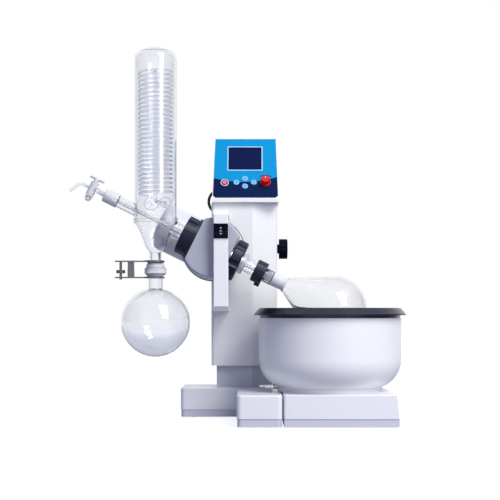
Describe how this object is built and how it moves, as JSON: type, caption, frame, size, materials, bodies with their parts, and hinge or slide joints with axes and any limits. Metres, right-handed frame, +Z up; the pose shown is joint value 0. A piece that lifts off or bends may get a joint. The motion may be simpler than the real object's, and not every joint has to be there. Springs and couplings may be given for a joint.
{
  "type": "rotary evaporator",
  "caption": "Bench rotary evaporator with upright glass condenser, tilting drive head, motor lift, receiving flask and round heating bath.",
  "frame": {"origin": "on the bench under the middle of the whole outline", "axes": "+X from the condenser towards the bath, +Y to the back, +Z up"},
  "size_m": [0.6369, 0.3446, 0.709],
  "materials": {
    "white_paint": "satin white lacquer",
    "grey_paint": "satin grey lacquer",
    "dark_paint": "matt black lacquer",
    "zinc_steel": "zinc plated",
    "stainless": "brushed stainless steel",
    "chrome_trim": "polished",
    "machined_alloy": "fine turned",
    "black_rubber": "matt",
    "black_plastic": "fine grained",
    "gloss_black": "glossy",
    "pale_plastic": "smooth",
    "panel_blue": "glossy printed film",
    "screen_navy": "dark glossy screen",
    "key_blue": "smooth",
    "control_red": "smooth",
    "board_green": "lacquered board",
    "clear_glass": "clear polished glass"
  },
  "bodies": {
    "stand": {"base_casting": "white_paint", "base_plate": "zinc_steel", "rubber_feet": "black_rubber", "mast": "grey_paint", "lift_actuator": "dark_paint"},
    "carriage": {"actuator_rod": "chrome_trim", "lift_sleeve": "white_paint", "guide_pads": "pale_plastic", "console_shell": "white_paint", "control_panel": "panel_blue", "display_window": "screen_navy", "circuit_board": "board_green", "tilt_bracket": "machined_alloy", "front_grip": "white_paint", "rocker_frame": "black_plastic", "head_cable": "black_rubber"},
    "power_button": {"power_button": "control_red"},
    "left_key": {"left_key": "key_blue"},
    "upper_key": {"upper_key": "key_blue"},
    "lower_key": {"lower_key": "key_blue"},
    "right_key": {"right_key": "key_blue"},
    "speed_knob": {"speed_knob": "control_red"},
    "lift_rocker": {"lift_rocker": "black_plastic"},
    "side_lock_knob": {"side_lock_knob": "black_plastic"},
    "drive_head": {"drive_housing": "grey_paint", "rear_cover": "white_paint", "cover_ring": "black_plastic", "motor_housing": "grey_paint", "drive_motor": "dark_paint", "spindle_bearings": "stainless", "drive_belt": "black_rubber", "seal_flange": "black_plastic", "duct_seal": "pale_plastic", "condenser": "clear_glass", "distribution_head": "clear_glass", "cooling_coil": "clear_glass", "feed_stopcock": "clear_glass", "feed_tube": "pale_plastic", "receiving_flask": "clear_glass", "clamp_upper_jaw": "stainless"},
    "motor_rotor": {"motor_pulley": "machined_alloy"},
    "condenser_nut": {"condenser_nut": "black_plastic"},
    "stopcock_plug": {"stopcock_plug": "pale_plastic"},
    "clamp_lower_jaw": {"clamp_lower_jaw": "stainless"},
    "clamp_nut": {"clamp_nut": "chrome_trim"},
    "rotor": {"spindle": "stainless", "drive_collar": "pale_plastic", "vapour_duct": "clear_glass", "evaporating_flask": "clear_glass"},
    "ejector_nut": {"ejector_nut": "black_plastic"},
    "clip_nut": {"clip_nut": "black_plastic"},
    "flask_bail": {"flask_bail": "chrome_trim"},
    "bath": {"bath_base": "white_paint", "bath_feet": "black_rubber", "bath_bowl": "white_paint", "bath_pan": "stainless", "bath_rim": "gloss_black", "heating_element": "stainless", "drain_cock": "chrome_trim"},
    "drain_lever": {"drain_lever": "chrome_trim"}
  },
  "joints": [
    {"name": "lift", "type": "slide", "parent": "stand", "child": "carriage", "axis": [0, 0, 1], "range_m": [-0.02, 0.11]},
    {"name": "tilt", "type": "hinge", "parent": "carriage", "child": "drive_head", "pos_m": [-0.0447, -0.007, 0.3266], "axis": [0, 1, 0], "range_deg": [-26.5, 4]},
    {"name": "power_press", "type": "slide", "parent": "carriage", "child": "power_button", "axis": [0, 0.8645, -0.5026], "range_m": [0, 0.0012], "stiffness_N_per_m": 300, "springref_m": -0.001},
    {"name": "left_press", "type": "slide", "parent": "carriage", "child": "left_key", "axis": [0, 0.8645, -0.5026], "range_m": [0, 0.0012], "stiffness_N_per_m": 300, "springref_m": -0.001},
    {"name": "upper_press", "type": "slide", "parent": "carriage", "child": "upper_key", "axis": [0, 0.8645, -0.5026], "range_m": [0, 0.0012], "stiffness_N_per_m": 300, "springref_m": -0.001},
    {"name": "lower_press", "type": "slide", "parent": "carriage", "child": "lower_key", "axis": [0, 0.8645, -0.5026], "range_m": [0, 0.0012], "stiffness_N_per_m": 300, "springref_m": -0.001},
    {"name": "right_press", "type": "slide", "parent": "carriage", "child": "right_key", "axis": [0, 0.8645, -0.5026], "range_m": [0, 0.0012], "stiffness_N_per_m": 300, "springref_m": -0.001},
    {"name": "speed_turn", "type": "hinge", "parent": "carriage", "child": "speed_knob", "pos_m": [0.0564, 0.07935, 0.46228], "axis": [0, -0.8645, 0.5026], "continuous": true},
    {"name": "rocker_tip", "type": "hinge", "parent": "carriage", "child": "lift_rocker", "pos_m": [-0.0278, -0.073, 0.3558], "axis": [1, 0, 0], "range_deg": [-8, 8], "stiffness_Nm_per_rad": 0.3},
    {"name": "lock_turn", "type": "hinge", "parent": "carriage", "child": "side_lock_knob", "pos_m": [0.0803, 0.125, 0.3335], "axis": [1, 0, 0], "continuous": true},
    {"name": "motor_turn", "type": "hinge", "parent": "drive_head", "child": "motor_rotor", "pos_m": [-0.0447, 0.092, 0.3266], "axis": [0.8949, 0, -0.4462], "continuous": true},
    {"name": "spindle_turn", "type": "hinge", "parent": "drive_head", "child": "rotor", "pos_m": [-0.0447, -0.007, 0.3266], "axis": [0.8949, 0, -0.4462], "continuous": true},
    {"name": "condenser_nut_turn", "type": "hinge", "parent": "drive_head", "child": "condenser_nut", "pos_m": [-0.09303, -0.007, 0.35069], "axis": [0.8949, 0, -0.4462], "continuous": true},
    {"name": "stopcock_turn", "type": "hinge", "parent": "drive_head", "child": "stopcock_plug", "pos_m": [-0.27309, -0.007, 0.44047], "axis": [0.4462, 0, 0.8949], "continuous": true},
    {"name": "jaw_open", "type": "hinge", "parent": "drive_head", "child": "clamp_lower_jaw", "pos_m": [-0.2, -0.007, 0.28735], "axis": [0, 1, 0], "range_deg": [0, 8]},
    {"name": "clamp_nut_turn", "type": "hinge", "parent": "drive_head", "child": "clamp_nut", "pos_m": [-0.2195, -0.007, 0.283], "axis": [0, 0, 1], "continuous": true},
    {"name": "ejector_turn", "type": "hinge", "parent": "rotor", "child": "ejector_nut", "pos_m": [-0.0013, -0.007, 0.30496], "axis": [0.8949, 0, -0.4462], "continuous": true},
    {"name": "clip_turn", "type": "hinge", "parent": "rotor", "child": "clip_nut", "pos_m": [0.0439, -0.007, 0.28243], "axis": [0.8949, 0, -0.4462], "continuous": true},
    {"name": "bail_swing", "type": "hinge", "parent": "clip_nut", "child": "flask_bail", "pos_m": [0.05509, -0.0254, 0.27685], "axis": [-0.4462, 0, -0.8949], "range_deg": [0, 75]},
    {"name": "bath_slide", "type": "slide", "parent": "stand", "child": "bath", "axis": [1, 0, 0], "range_m": [0, 0.018]},
    {"name": "drain_turn", "type": "hinge", "parent": "bath", "child": "drain_lever", "pos_m": [0.062, -0.037, 0.0665], "axis": [0, 1, 0], "range_deg": [0, 90]}
  ],
  "couplings": [
    {"joint": "motor_turn", "follows": "spindle_turn", "ratio": 2.2778}
  ]
}
